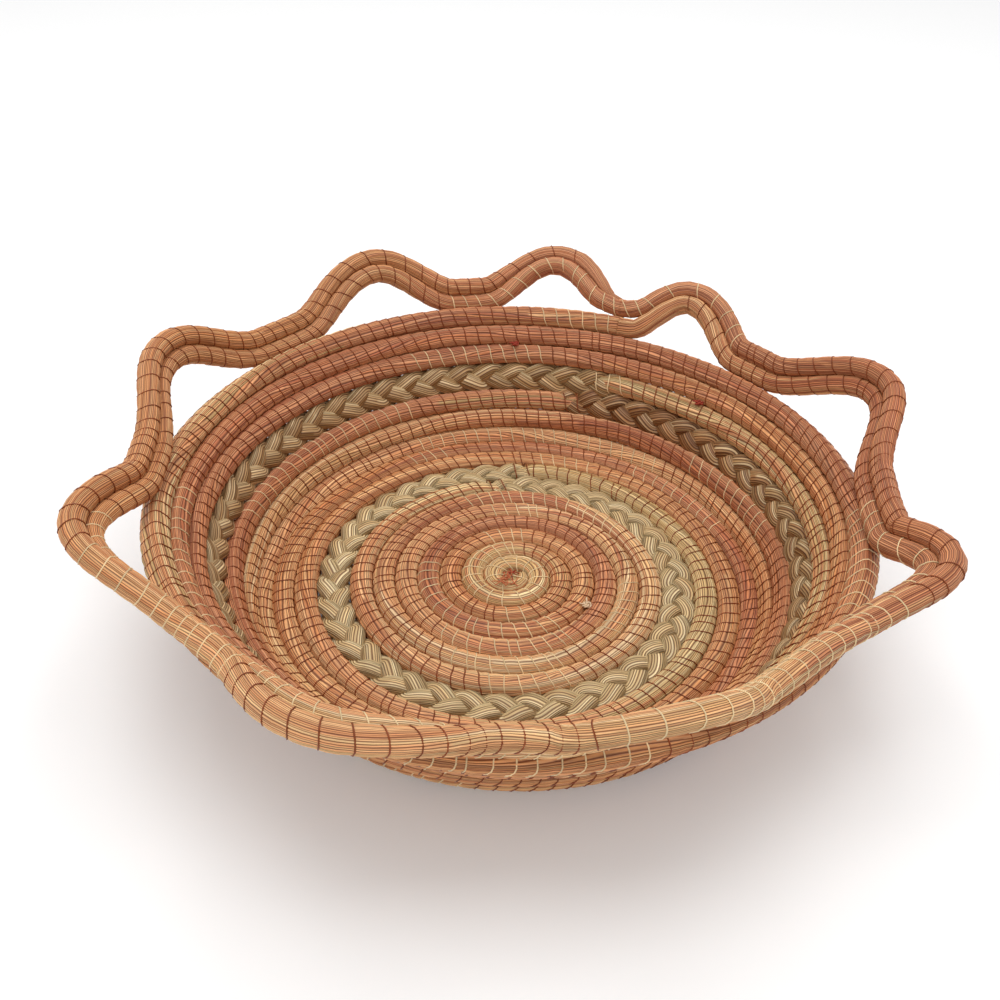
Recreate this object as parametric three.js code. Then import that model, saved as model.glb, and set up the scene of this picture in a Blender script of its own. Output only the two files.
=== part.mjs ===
// A coiled pine needle basket. Bundles of needles wind outward as one flat spiral floor and a flaring wall,
// with two plaited rows among them, and end in a rim of two parallel cords that stand up in waves.
// Millimetres, +Z up. The origin is on the table, under the centre of the spiral.

import * as THREE from 'three';

// Bundles and braids
const CORD_WIDTH = 7.4; // a needle bundle, measured along the wall
const CORD_THICKNESS = 8; // a needle bundle, measured through the wall
const WAVE_WIDTH = 6.6; // a waved rim cord, which is slimmer than the rows, from the inner cord to the outer one
const WAVE_THICKNESS = 7; // a waved rim cord, the other way
const FLOOR_BRAID_WIDTH = 11.1;
const WALL_BRAID_WIDTH = 10.4;
const BRAID_THICKNESS = 6.8;
const ROW_GAP = 0.6; // thread between neighbouring rows
const END_GAP = 0.3; // between the butted ends of two stretches
const SEAT_GAP = 1.1; // between the rim row and the waved cord that sits on it at an angle

// Bowl
const FLOOR_RADIUS = 83.5; // flat as far as here
const FOOT_BEND = 10; // length of the bend from floor to wall
const FOOT_SLOPE = 62; // degrees, wall just above the bend
const RIM_SLOPE = 52; // degrees, wall at the rim

// Knots of the sewing thread
const START_KNOT_RADIUS = 2.2;
const START_KNOT_HEIGHT = 6.6;
const START_KNOT_CROWN = 1.2; // height of its rounded shoulder
const THREAD_KNOT_RADIUS = 1.5;
const KNOT_GAP = 0.3; // between a thread knot and the rows it lies on

// Facets
const STEPS_PER_TURN = 24;
const STEPS_PER_HALF_LOBE = 5;
const STEPS_PER_VALLEY = 2;
const KNOT_FACETS = 12;

// The stretches of the spiral, in turns counted clockwise from the back, each of one batch of needles
const STRETCHES = [
  { name: 'start_coil', from: 0.2, to: 1.7, colour: 0xcdb98a },
  { name: 'inner_floor_coil', from: 1.7, to: 5.4, colour: 0xb37c54 },
  { name: 'straw_floor_coil', from: 5.4, to: 7, colour: 0xc99c66 },
  { name: 'floor_braid', from: 7, to: 8, colour: 0xb5a77c, braid: FLOOR_BRAID_WIDTH },
  { name: 'green_floor_coil', from: 8, to: 8.45, colour: 0xb59f70 },
  { name: 'outer_floor_coil', from: 8.45, to: 10.1, colour: 0xb9865a },
  { name: 'lower_wall_coil', from: 10.1, to: 12, colour: 0xb88a58 },
  { name: 'upper_wall_coil', from: 12, to: 13.05, colour: 0xa9714c },
  { name: 'wall_braid', from: 13.05, to: 14.05, colour: 0xaa9b70, braid: WALL_BRAID_WIDTH },
  { name: 'green_wall_coil', from: 14.05, to: 14.45, colour: 0xa8885c },
  { name: 'rim_coil', from: 14.45, to: 17.06, colour: 0xb0764f },
];
const SCALLOP_COLOUR = 0xb57b54;
const RED_THREAD = 0xa4452f;
const PALE_THREAD = 0xd9bf95;

// The waves of the rim cords, in degrees clockwise from the back: where a lobe leaves the rim, crests and returns.
// Its crest lies at a reach from the rim row, along a slope, and leans from the inner cord to the outer one.
// The seat is the slope from the rim row to the inner cord in the valley before the lobe.
const LOBES = [
  { from: 24, crest: 33, to: 47, reach: 24.5, slope: 43, lean: 33, seat: 58 },
  { from: 54, crest: 73, to: 92, reach: 26.5, slope: 42, lean: 64, seat: 35 },
  { from: 105, crest: 115, to: 130, reach: 22.5, slope: 41, lean: 42, seat: 80 },
  { from: 148, crest: 162, to: 176, reach: 20, slope: 67, lean: 51, seat: 83 },
  { from: 183, crest: 201, to: 217, reach: 20, slope: 56, lean: 25, seat: 80 },
  { from: 224, crest: 246, to: 263, reach: 23, slope: 43, lean: 55, seat: 72 },
  { from: 269, crest: 290, to: 308, reach: 23, slope: 49, lean: 70, seat: 83 },
  { from: 317, crest: 334, to: 348, reach: 24.5, slope: 42, lean: 43, seat: 14 },
  { from: 354, crest: 367, to: 379, reach: 24, slope: 40, lean: 20, seat: 20 },
];
const VALLEY_LEAN = 60; // degrees, from the inner to the outer cord in the valleys
const WAVE_END_GAPS = 6; // end gaps left at the end of the waved cords, where the inner one meets the outer one's start

const radians = THREE.MathUtils.degToRad;
const ROW_PITCH = CORD_WIDTH + ROW_GAP;
const FLOOR_HEIGHT = CORD_THICKNESS / 2; // middle of the floor rows above the table
const UP = new THREE.Vector3(0, 0, 1);

// A braid is wider than a bundle, so it moves itself and the rows outside it outward.
let widened = 0;
for (const stretch of STRETCHES) {
  const extra = (stretch.braid ?? CORD_WIDTH) - CORD_WIDTH;
  stretch.shift = widened + extra / 2;
  widened += extra;
}
const rim = STRETCHES.at(-1);
const RIM_ARC = rim.to * ROW_PITCH + rim.shift;

function outward(turns) {
  const angle = 2 * Math.PI * turns;
  return new THREE.Vector3(Math.sin(angle), Math.cos(angle), 0);
}

function along(direction, slope) {
  return direction.clone().multiplyScalar(Math.cos(slope)).addScaledVector(UP, Math.sin(slope));
}

// Radius, height and slope of the bowl's middle surface, at a distance from the centre measured along it
function profileAt(arc) {
  const footSlope = radians(FOOT_SLOPE);
  const footRate = footSlope / FOOT_BEND;
  const bend = THREE.MathUtils.clamp(arc - FLOOR_RADIUS, 0, FOOT_BEND);
  const slopeInBend = bend * footRate;
  const point = {
    radius: Math.min(arc, FLOOR_RADIUS) + Math.sin(slopeInBend) / footRate,
    height: FLOOR_HEIGHT + (1 - Math.cos(slopeInBend)) / footRate,
    slope: slopeInBend,
  };
  const wallStart = FLOOR_RADIUS + FOOT_BEND;
  const wall = arc - wallStart;
  if (wall > 0) {
    const wallRate = (footSlope - radians(RIM_SLOPE)) / (RIM_ARC - wallStart);
    point.slope = footSlope - wall * wallRate;
    point.radius += (Math.sin(footSlope) - Math.sin(point.slope)) / wallRate;
    point.height += (Math.cos(point.slope) - Math.cos(footSlope)) / wallRate;
  }
  return point;
}

// A place on the bowl's middle surface, with the directions along the wall and through it
function placeAt(turns, arc) {
  const { radius, height, slope } = profileAt(arc);
  const out = outward(turns);
  return {
    centre: out.clone().multiplyScalar(radius).addScaledVector(UP, height),
    across: along(out, slope),
    through: along(out, slope + Math.PI / 2),
  };
}

// The six corners of a section: one towards each neighbouring row, with a flat on the inside and on the underside
function sectionCorners(width, thickness) {
  const w = width / 2;
  const t = thickness / 2;
  return [[w, 0], [w / 2, t], [-w / 2, t], [-w, 0], [-w / 2, -t], [w / 2, -t]];
}

// A closed tube through a row of sections
function tubeGeometry(sections) {
  const rings = sections.map(({ centre, across, through, corners }) =>
    corners.map(([a, t]) => centre.clone().addScaledVector(across, a).addScaledVector(through, t)));
  const sides = rings[0].length;
  const last = (rings.length - 1) * sides;
  const index = [];
  for (let start = 0; start < last; start += sides) {
    for (let j = 0; j < sides; j++) {
      const a = start + j;
      const b = start + ((j + 1) % sides);
      index.push(a, b, a + sides, b, b + sides, a + sides);
    }
  }
  for (let j = 1; j < sides - 1; j++) {
    index.push(0, j + 1, j, last, last + j, last + j + 1);
  }
  const geometry = new THREE.BufferGeometry().setFromPoints(rings.flat());
  geometry.setIndex(index);
  geometry.computeVertexNormals();
  return { geometry, rings };
}

// The least distance between points of a tube that lie at least half a turn apart along it
function leastGap(rings) {
  let least = Infinity;
  for (let i = 0; i < rings.length; i++) {
    for (let k = i + STEPS_PER_TURN / 2; k < rings.length; k++) {
      for (const p of rings[i]) {
        for (const q of rings[k]) {
          least = Math.min(least, p.distanceTo(q));
        }
      }
    }
  }
  return least;
}

const basket = new THREE.Group();

function addPiece(name, geometry, colour) {
  const material = new THREE.MeshStandardMaterial({ color: colour, roughness: 0.6, metalness: 0 });
  const mesh = new THREE.Mesh(geometry, material);
  mesh.name = name;
  basket.add(mesh);
  return mesh;
}

function addTube(name, sections, colour) {
  const { geometry, rings } = tubeGeometry(sections);
  const gap = leastGap(rings);
  if (Number.isFinite(gap)) {
    console.log(`${name}: least gap to itself ${gap.toFixed(2)} mm`);
  }
  addPiece(name, geometry, colour);
}

// Turns at which a stretch has a section: its two ends, and every facet corner between them
function sectionTurns({ from, to, shift }) {
  const halfGap = (turns) => END_GAP / 2 / (2 * Math.PI * profileAt(turns * ROW_PITCH + shift).radius);
  const turns = [from + halfGap(from)];
  const first = Math.floor(from * STEPS_PER_TURN + 1);
  for (let step = first; step < to * STEPS_PER_TURN; step++) {
    turns.push(step / STEPS_PER_TURN);
  }
  turns.push(to - halfGap(to));
  return turns;
}

// One section of the spiral. The first turn tapers to a tail that hugs the start knot.
function coilSection(turns, stretch) {
  const arc = turns * ROW_PITCH + stretch.shift;
  if (stretch.braid) {
    return { ...placeAt(turns, arc), corners: sectionCorners(stretch.braid, BRAID_THICKNESS) };
  }
  const outerEdge = arc + CORD_WIDTH / 2;
  const innerEdge = Math.max(arc - CORD_WIDTH / 2, START_KNOT_RADIUS + ROW_GAP);
  return {
    ...placeAt(turns, (outerEdge + innerEdge) / 2),
    corners: sectionCorners(outerEdge - innerEdge, CORD_THICKNESS),
  };
}

for (const stretch of STRETCHES) {
  const sections = sectionTurns(stretch).map((turns) => coilSection(turns, stretch));
  addTube(stretch.name, sections, stretch.colour);
}

// The rim cords go once round, from the end of the rim coil to above it.
const RIM_END = (rim.to % 1) * 360; // degrees clockwise from the back
const VALLEYS = LOBES.map((lobe, k) => {
  const before = k > 0 ? LOBES[k - 1].to : LOBES.at(-1).to - 360;
  return { at: (before + lobe.from) / 2, slope: lobe.seat, lean: VALLEY_LEAN };
});
VALLEYS.push({ ...VALLEYS[0], at: VALLEYS[0].at + 360 });
const CRESTS = LOBES.map((lobe) => ({ at: lobe.crest, slope: lobe.slope, lean: lobe.lean }));
const SLOPES = VALLEYS.flatMap((valley, k) => (k < CRESTS.length ? [valley, CRESTS[k]] : [valley]));

// A rounded step from 0 to 1
function ease(share) {
  return 0.5 - 0.5 * Math.cos(Math.PI * THREE.MathUtils.clamp(share, 0, 1));
}

function slopesAt(bearing) {
  const k = Math.max(1, SLOPES.findIndex(({ at }) => at >= bearing));
  const [before, after] = [SLOPES[k - 1], SLOPES[k]];
  const share = ease((bearing - before.at) / (after.at - before.at));
  return {
    slope: radians(THREE.MathUtils.lerp(before.slope, after.slope, share)),
    lean: radians(THREE.MathUtils.lerp(before.lean, after.lean, share)),
  };
}

function reachAt(bearing) {
  const seat = (CORD_WIDTH + WAVE_WIDTH) / 2 + SEAT_GAP;
  const lobe = LOBES.find(({ from, to }) => bearing > from && bearing < to);
  if (!lobe) return seat;
  const { from, crest, to, reach } = lobe;
  const share = bearing < crest ? (bearing - from) / (crest - from) : (to - bearing) / (to - crest);
  return seat + (reach - seat) * ease(share);
}

function innerCordAt(bearing) {
  const turns = rim.to - 1 + (bearing - RIM_END) / 360;
  const { centre } = placeAt(turns, turns * ROW_PITCH + rim.shift);
  return centre.addScaledVector(along(outward(turns), slopesAt(bearing).slope), reachAt(bearing));
}

// A section of the inner cord, and of the outer one that runs a row further out
function scallopSections(bearing) {
  const small = 0.5; // degrees
  const tangent = innerCordAt(bearing + small).sub(innerCordAt(bearing - small)).normalize();
  const across = along(outward(bearing / 360), slopesAt(bearing).lean);
  across.addScaledVector(tangent, -across.dot(tangent)).normalize();
  const through = tangent.clone().cross(across);
  const corners = sectionCorners(WAVE_WIDTH, WAVE_THICKNESS);
  const inner = innerCordAt(bearing);
  const outer = inner.clone().addScaledVector(across, WAVE_WIDTH + ROW_GAP);
  return [inner, outer].map((centre) => ({ centre, across, through, corners }));
}

// Bearings of the sections: along each valley, up each lobe and down again
function scallopBearings() {
  const bearings = [];
  const addSteps = (from, to, steps) => {
    for (let i = 0; i < steps; i++) {
      bearings.push(from + ((to - from) * i) / steps);
    }
  };
  const endGap = THREE.MathUtils.radToDeg(END_GAP / profileAt(RIM_ARC).radius);
  const end = RIM_END + 360 - WAVE_END_GAPS * endGap;
  let reached = RIM_END + endGap;
  for (const { from, crest, to } of LOBES) {
    addSteps(reached, from, STEPS_PER_VALLEY);
    addSteps(from, crest, STEPS_PER_HALF_LOBE);
    addSteps(crest, to, STEPS_PER_HALF_LOBE);
    reached = to;
  }
  addSteps(reached, end, STEPS_PER_VALLEY);
  bearings.push(end);
  return bearings;
}

const scallops = scallopBearings().map(scallopSections);
addTube('scallop_inner_cord', scallops.map(([inner]) => inner), SCALLOP_COLOUR);
addTube('scallop_outer_cord', scallops.map(([, outer]) => outer), SCALLOP_COLOUR);

// The start knot, a stub of thread-wrapped needles that the first turn closes round
const shoulder = START_KNOT_HEIGHT - START_KNOT_CROWN;
const knotProfile = [
  new THREE.Vector2(0, 0),
  new THREE.Vector2(START_KNOT_RADIUS, 0),
  new THREE.Vector2(START_KNOT_RADIUS, shoulder),
  new THREE.Vector2(START_KNOT_RADIUS / 2, START_KNOT_HEIGHT),
  new THREE.Vector2(0, START_KNOT_HEIGHT),
];
const startKnot = new THREE.LatheGeometry(knotProfile, KNOT_FACETS).rotateX(Math.PI / 2);
addPiece('start_knot', startKnot, RED_THREAD);

// Knots where a thread was joined, each lying in the groove outside a row, on the inside of the bowl, at a facet corner
const THREAD_KNOTS = [
  { name: 'floor_thread_knot', turns: 10 / 3, colour: PALE_THREAD },
  { name: 'back_thread_knot', turns: 15, colour: RED_THREAD },
  { name: 'right_thread_knot', turns: 14.125, colour: RED_THREAD },
];

for (const { name, turns, colour } of THREAD_KNOTS) {
  const stretch = STRETCHES.find(({ from, to }) => turns >= from && turns < to);
  const { centre, through } = placeAt(turns, turns * ROW_PITCH + stretch.shift + ROW_PITCH / 2);
  const flank = Math.atan2(CORD_WIDTH / 4, CORD_THICKNESS / 2);
  const lift = ((THREAD_KNOT_RADIUS + KNOT_GAP) / Math.cos(flank) - ROW_GAP / 2) / Math.tan(flank);
  const ball = new THREE.SphereGeometry(THREAD_KNOT_RADIUS, KNOT_FACETS / 2 + 2, KNOT_FACETS / 2);
  addPiece(name, ball, colour).position.copy(centre.addScaledVector(through, lift));
}

export default basket;
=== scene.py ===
"""A coiled pine needle basket: needles, plaits, sewing thread and knots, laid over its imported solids."""

import math

import bpy
import numpy as np
from mathutils import Matrix, Vector


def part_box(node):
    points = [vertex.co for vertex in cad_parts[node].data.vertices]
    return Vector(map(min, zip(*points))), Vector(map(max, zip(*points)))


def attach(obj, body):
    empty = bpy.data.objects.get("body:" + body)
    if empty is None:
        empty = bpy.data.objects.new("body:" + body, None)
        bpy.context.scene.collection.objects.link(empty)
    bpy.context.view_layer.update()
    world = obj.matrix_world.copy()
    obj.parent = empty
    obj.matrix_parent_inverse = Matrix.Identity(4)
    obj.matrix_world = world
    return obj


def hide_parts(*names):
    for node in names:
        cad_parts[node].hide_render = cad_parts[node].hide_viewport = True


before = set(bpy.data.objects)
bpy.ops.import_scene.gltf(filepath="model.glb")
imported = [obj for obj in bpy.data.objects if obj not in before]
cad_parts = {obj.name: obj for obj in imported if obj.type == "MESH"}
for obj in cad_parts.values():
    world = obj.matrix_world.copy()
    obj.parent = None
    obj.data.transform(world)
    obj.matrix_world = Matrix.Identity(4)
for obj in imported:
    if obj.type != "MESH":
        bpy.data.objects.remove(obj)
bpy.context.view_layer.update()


# Camera
# It stands in front of the basket and looks down into it, rolled by a little over a degree.
# Its place and lens come from the edges of the coil's rows.
FOCAL_SHARE = 1.051  # focal length over the picture's width
CAMERA_PLACE = Vector((-0.0047, -0.2871, 0.2570))
CAMERA_PITCH = math.radians(36.96)
CAMERA_ROLL = math.radians(1.40)

forward = Vector((0, math.cos(CAMERA_PITCH), -math.sin(CAMERA_PITCH)))
level_right = forward.cross(Vector((0, 0, 1))).normalized()
level_up = level_right.cross(forward)
right = level_right * math.cos(CAMERA_ROLL) + level_up * math.sin(CAMERA_ROLL)
up = level_up * math.cos(CAMERA_ROLL) - level_right * math.sin(CAMERA_ROLL)
lens = bpy.data.cameras.new("camera")
lens.sensor_width = 36
lens.lens = lens.sensor_width * FOCAL_SHARE
lens.clip_start = 0.01
camera = bpy.data.objects.new("camera", lens)
turned = Matrix((right, up, -forward)).transposed().to_4x4()
camera.matrix_world = Matrix.Translation(CAMERA_PLACE) @ turned
bpy.context.scene.collection.objects.link(camera)
bpy.context.scene.camera = camera


# Start knot
# The stub that the basket begins from: a few needle ends tied with red thread.
# The first turn closes round it, and the thread's cut ends lie over both as a small loose tuft.
KNOT_RED = "a03c28"
TUFT_RED = "c87048"
STUB_TAN = "c8ac78"
STUB_RADIUS = 2.9
STUB_TOP = 7.4
STUB_SIDES = 36
STUB_FLUTES = 9  # needle ends that show round the stub
STUB_FLUTE_DEPTH = 0.05  # over the stub's radius
# Heights of the stub's rings, and their radius over the stub's
STUB_STEPS = ((0.1, 0.9), (1, 1), (4, 1), (6.6, 0.95), (STUB_TOP - 0.3, 0.7), (STUB_TOP, 0.3))
KNOT_WRAPS = 4
WRAP_BEARING = 0.3  # of the first wrap, in radians
WRAP_STEP = 0.83  # and from each wrap to the next
WRAP_REACH = 3.3  # half the length of a thread tied over the stub
WRAP_SWAY = 0.5
WRAP_RISE = 0.75  # from the stub's top to the middle of a wrap
WRAP_DROP = 0.9  # from there to its ends
TUFT_THREAD_RADIUS = 0.18
TUFT_SEED = 11
TUFT_ENDS = 10
TUFT_LENGTHS = (4.5, 8.5)
TUFT_CURL = 2.4  # the most that an end turns from its middle to its tip, in radians
TUFT_MIDDLE = np.array((-0.9, -3.0))
TUFT_SPREAD = 2.8
TUFT_HEIGHT = 8.35
TUFT_LIFT = 0.5
TUFT_WAVE = 0.3


def linear(code):
    """The linear colour of a six-digit screen colour."""
    screen = np.array([int(code[i:i + 2], 16) / 255 for i in (0, 2, 4)])
    return np.where(screen <= 0.04045, screen / 12.92, ((screen + 0.055) / 1.055) ** 2.4)


def tube(rings, colours, closed=False, lay=0.0):
    """A skin over rings of points, of shape (rings, sides, 3), with capped ends unless it closes on itself.
    Its lay holds, at each point, the distance along the strand, the angle round it and 1 between needles,
    where the finish paints shade."""
    count, sides = rings.shape[:2]
    start = np.arange(count if closed else count - 1)[:, None] * sides
    side = np.arange(sides)[None, :]
    here = start + side
    beside = start + (side + 1) % sides
    total = count * sides
    quads = np.stack([here, beside, (beside + sides) % total, (here + sides) % total], -1).reshape(-1, 4)
    caps = [] if closed else [np.arange(sides)[::-1], np.arange(sides) + total - sides]
    colours = np.broadcast_to(colours, rings.shape)
    lay = np.broadcast_to(lay, rings.shape)
    return rings.reshape(-1, 3), quads, caps, colours.reshape(-1, 3), lay.reshape(-1, 3)


def unit(vectors):
    """Vectors with the same directions and a length of 1."""
    return vectors / np.linalg.norm(vectors, axis=-1, keepdims=True)


def perpendicular(vectors, tangents):
    """The vectors, turned the least that sets them square to the tangents, with a length of 1."""
    return unit(vectors - tangents * (vectors * tangents).sum(-1, keepdims=True))


def thread(points, radius, colour, sides=6):
    """A round thread along an open line of points, in millimetres."""
    points = np.asarray(points, float)
    tangents = unit(np.gradient(points, axis=0))
    slanted = (0.31, 0.2, 0.93)  # a direction that no thread here starts along
    normal = np.cross(tangents[0], slanted)
    rings = []
    for point, tangent in zip(points, tangents):
        normal = perpendicular(normal, tangent)
        turn = np.linspace(0, 2 * np.pi, sides, endpoint=False)[:, None]
        rings.append(point + radius * (np.cos(turn) * normal + np.sin(turn) * np.cross(tangent, normal)))
    return tube(np.array(rings), linear(colour))


def add_piece(name, parts, finish, nodes=()):
    """One object of several skins, in metres, that rides on the basket and stands for its solids."""
    points, quads, caps, colours, lays, first = [], [], [], [], [], 0
    for part_points, part_quads, part_caps, part_colours, part_lay in parts:
        points.append(part_points)
        quads.append(part_quads + first)
        caps += [cap + first for cap in part_caps]
        colours.append(part_colours)
        lays.append(part_lay)
        first += len(part_points)
    points = np.concatenate(points) / 1000
    quads = np.concatenate(quads)
    colours = np.concatenate(colours)
    corners = np.concatenate([quads.ravel()] + caps)
    sizes = np.concatenate([np.full(len(quads), 4), np.array([len(cap) for cap in caps], int)])
    starts = np.concatenate([[0], np.cumsum(sizes)[:-1]])
    mesh = bpy.data.meshes.new(name)
    mesh.vertices.add(len(points))
    mesh.vertices.foreach_set("co", points.astype(np.float32).ravel())
    mesh.loops.add(len(corners))
    mesh.loops.foreach_set("vertex_index", corners.astype(np.int32))
    mesh.polygons.add(len(sizes))
    mesh.polygons.foreach_set("loop_start", starts.astype(np.int32))
    mesh.update(calc_edges=True)
    mesh.validate()
    shade = mesh.color_attributes.new("shade", "FLOAT_COLOR", "POINT")
    painted = np.concatenate([colours, np.ones((len(colours), 1))], axis=1)
    shade.data.foreach_set("color", painted.astype(np.float32).ravel())
    lay = mesh.attributes.new("lay", "FLOAT_VECTOR", "POINT")
    lay.data.foreach_set("vector", np.concatenate(lays).astype(np.float32).ravel())
    mesh.shade_smooth()
    mesh.materials.append(finish)
    piece = bpy.data.objects.new(name, mesh)
    bpy.context.scene.collection.objects.link(piece)
    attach(piece, "root")
    if nodes:
        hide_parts(*nodes)


def thread_finish(name, roughness, grain):
    """Twisted thread: its own shade, a fine lay and a waxed gloss."""
    finish = bpy.data.materials.new(name)
    finish.use_nodes = True
    nodes = finish.node_tree.nodes
    links = finish.node_tree.links
    shader = nodes["Principled BSDF"]
    shade = nodes.new("ShaderNodeAttribute")
    shade.attribute_name = "shade"
    where = nodes.new("ShaderNodeTexCoord")
    lay = nodes.new("ShaderNodeTexNoise")
    lay.inputs["Scale"].default_value = grain
    lay.inputs["Detail"].default_value = 2
    depth = nodes.new("ShaderNodeMapRange")
    depth.inputs["To Min"].default_value = 0.75
    depth.inputs["To Max"].default_value = 1.2
    tint = nodes.new("ShaderNodeMix")
    tint.data_type = "RGBA"
    tint.blend_type = "MULTIPLY"
    tint.inputs["Factor"].default_value = 1
    bump = nodes.new("ShaderNodeBump")
    bump.inputs["Strength"].default_value = 0.25
    bump.inputs["Distance"].default_value = 0.0001
    links.new(where.outputs["Object"], lay.inputs["Vector"])
    links.new(lay.outputs["Fac"], depth.inputs["Value"])
    links.new(shade.outputs["Color"], tint.inputs[6])
    links.new(depth.outputs["Result"], tint.inputs[7])
    links.new(tint.outputs[2], shader.inputs["Base Color"])
    links.new(lay.outputs["Fac"], bump.inputs["Height"])
    links.new(bump.outputs["Normal"], shader.inputs["Normal"])
    shader.inputs["Roughness"].default_value = roughness
    shader.inputs["Specular IOR Level"].default_value = 0.28
    return finish


red_thread = thread_finish("red_thread", roughness=0.6, grain=2600)
rng = np.random.default_rng(TUFT_SEED)
stub_turn = np.linspace(0, 2 * np.pi, STUB_SIDES, endpoint=False)
stub_flute = STUB_RADIUS * (1 + STUB_FLUTE_DEPTH * np.cos(STUB_FLUTES * stub_turn))
stub_rings = []
for height, share in STUB_STEPS:
    flat = np.stack([np.cos(stub_turn), np.sin(stub_turn)], 1) * (stub_flute * share)[:, None]
    stub_rings.append(np.column_stack([flat, np.full(len(flat), height)]))
knot_parts = [tube(np.array(stub_rings), linear(STUB_TAN))]
for wrap in range(KNOT_WRAPS):
    bearing = wrap * WRAP_STEP + WRAP_BEARING
    reach = np.linspace(-1, 1, 15)
    sway = WRAP_SWAY * np.cos(reach * 2.2 + wrap)
    arch = STUB_TOP + WRAP_RISE - WRAP_DROP * reach ** 2
    bowed = np.stack([reach * WRAP_REACH, sway, arch], 1)
    turn = np.array([
        [math.cos(bearing), math.sin(bearing), 0],
        [-math.sin(bearing), math.cos(bearing), 0],
        [0, 0, 1],
    ])
    knot_parts.append(thread(bowed @ turn, TUFT_THREAD_RADIUS, KNOT_RED))
for end in range(TUFT_ENDS):
    share = np.linspace(-1, 1, 13)
    heading = rng.uniform(0, 2 * math.pi) + rng.uniform(-TUFT_CURL, TUFT_CURL) * share
    step = rng.uniform(*TUFT_LENGTHS) / len(share)
    flat = np.cumsum(np.stack([np.cos(heading), np.sin(heading)], 1) * step, axis=0)
    flat += TUFT_MIDDLE + rng.uniform(-TUFT_SPREAD, TUFT_SPREAD, 2) - flat.mean(axis=0)
    height = TUFT_HEIGHT + rng.uniform(0, TUFT_LIFT) + TUFT_WAVE * np.sin(2.5 * share + rng.uniform(0, 6))
    knot_parts.append(thread(np.column_stack([flat, height]), TUFT_THREAD_RADIUS, TUFT_RED))
add_piece("start_knot_tuft", knot_parts, red_thread, ["start_knot"])


# Start coil
# The first turn and a half, of pale green-straw needles, as thick as a pencil. Its tail hugs the knot.
# Like every row it is a bundle of dried needles, drawn in a little wherever the thread goes round it.
START_COIL = (0.2, 1.7)  # the turns of the spiral between which the piece lies
COIL_HALF = 4.1  # half the width of a bundle along the wall, so that rows press together
COIL_DEPTH = 3.9  # half its thickness through the wall
COIL_SQUARE = 0.64  # power that makes a pressed bundle's section squarer than round
ROW_PITCH = 8.0
FLOOR_HEIGHT = 4.0
FLOOR_RADIUS = 83.5
FOOT_BEND = 10.0
FOOT_SLOPE = math.radians(62)
RIM_SLOPE = math.radians(52)
RIM_END_TURN = 17.06
TAIL_EDGE = 2.3  # the tail's inner edge, from the middle
RING_SHARES = (0, 0.33, 0.67)  # where a bundle has its rings, from one stitch to the next
NEEDLES = 40
NEEDLE_SEED = 21
NEEDLE_LENGTHS = (35, 110)  # how much of a needle shows before its end dips under
NEEDLE_LIGHTS = (0.78, 0.9, 0.98, 1.02, 1.06, 1.12)
PAINTED_GAP_SHADE = (0.25, 0.15, 0.11, 1)  # painted shade: what is left of the colour in the crease between two needles
NEEDLE_GROOVE = 0.06  # depth of the groove between two needles, over the bundle's radius; the finish paints shade along it
NEEDLE_LIFT = 0.014  # how much needles differ in height, over the bundle's radius
WANDER_SEED = 5
PHASES = (0, 6.28)
LEAN_WAVE = (220, 0.35)  # length over which the whole lay twists to and fro, and its angle
DRIFT_WAVE = (95, 0.3)  # the same for a single needle, over the needles' spacing
LIFT_WAVE = (38, 0.012)  # and for its height, over the bundle's radius
PINCH = 0.05  # how much a stitch draws the bundle in
END_SIZE = 0.2  # what is left of a bundle where it ends under a plait
END_SINK = 0.9  # how far a thinned end drops under the plait, over the thickness that it has lost
FIRST_STITCH = 0.33
FREE_TURNS = 1.2  # turns before there is a full row to sew through
STITCH_SPACING = ((0, 4.2), (4, 4.6), (9, 5.0), (14, 5.4), (17, 5.6))  # turns, and how far apart stitches lie
STITCH_STRAY = (0.55, 1.3)  # least and greatest step, over that spacing, to a stitch of the row before
STITCH_SWIRL = -3.4  # how far a stitch's outer end lies behind its inner one
# Turns, and how far the plaits' greater width moves a row outward, with a short ramp at each plait's ends
ROW_SHIFTS = ((6.985, 0), (7.015, 1.85), (7.985, 1.85), (8.015, 3.7), (13.035, 3.7), (13.065, 5.2),
              (14.035, 5.2), (14.065, 6.7))
RIM_ARC = RIM_END_TURN * ROW_PITCH + ROW_SHIFTS[-1][1]
WAVES_ARC = RIM_ARC + 9  # where the girth of the waved cords is taken, to space their stitches
START_SHADES = ("f6d49a", "eac68c", "e2b87c", "fadea8", "e8bc7e", "d8aa70")
WARM_SHADES = ("f4b47c", "e8a36d", "fcc68e", "da9260", "eead78")


def row_arc(turns):
    """Distance from the centre of the spiral, along the bowl, of the row at some number of turns."""
    turns = np.asarray(turns, float)
    stops = np.array(ROW_SHIFTS)
    return turns * ROW_PITCH + np.interp(turns, stops[:, 0], stops[:, 1])


def bowl_profile(arc):
    """Radius, height and slope of the bowl's middle surface."""
    bend_rate = FOOT_SLOPE / FOOT_BEND
    bent = np.clip(arc - FLOOR_RADIUS, 0, FOOT_BEND) * bend_rate
    wall_rate = (FOOT_SLOPE - RIM_SLOPE) / (RIM_ARC - FLOOR_RADIUS - FOOT_BEND)
    wall = np.clip(arc - FLOOR_RADIUS - FOOT_BEND, 0, None)
    slope = np.where(wall > 0, FOOT_SLOPE - wall * wall_rate, bent)
    radius = np.minimum(arc, FLOOR_RADIUS) + np.sin(bent) / bend_rate
    height = FLOOR_HEIGHT + (1 - np.cos(bent)) / bend_rate
    radius = radius + np.where(wall > 0, (math.sin(FOOT_SLOPE) - np.sin(slope)) / wall_rate, 0)
    height = height + np.where(wall > 0, (np.cos(slope) - math.cos(FOOT_SLOPE)) / wall_rate, 0)
    return radius, height, slope


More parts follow.
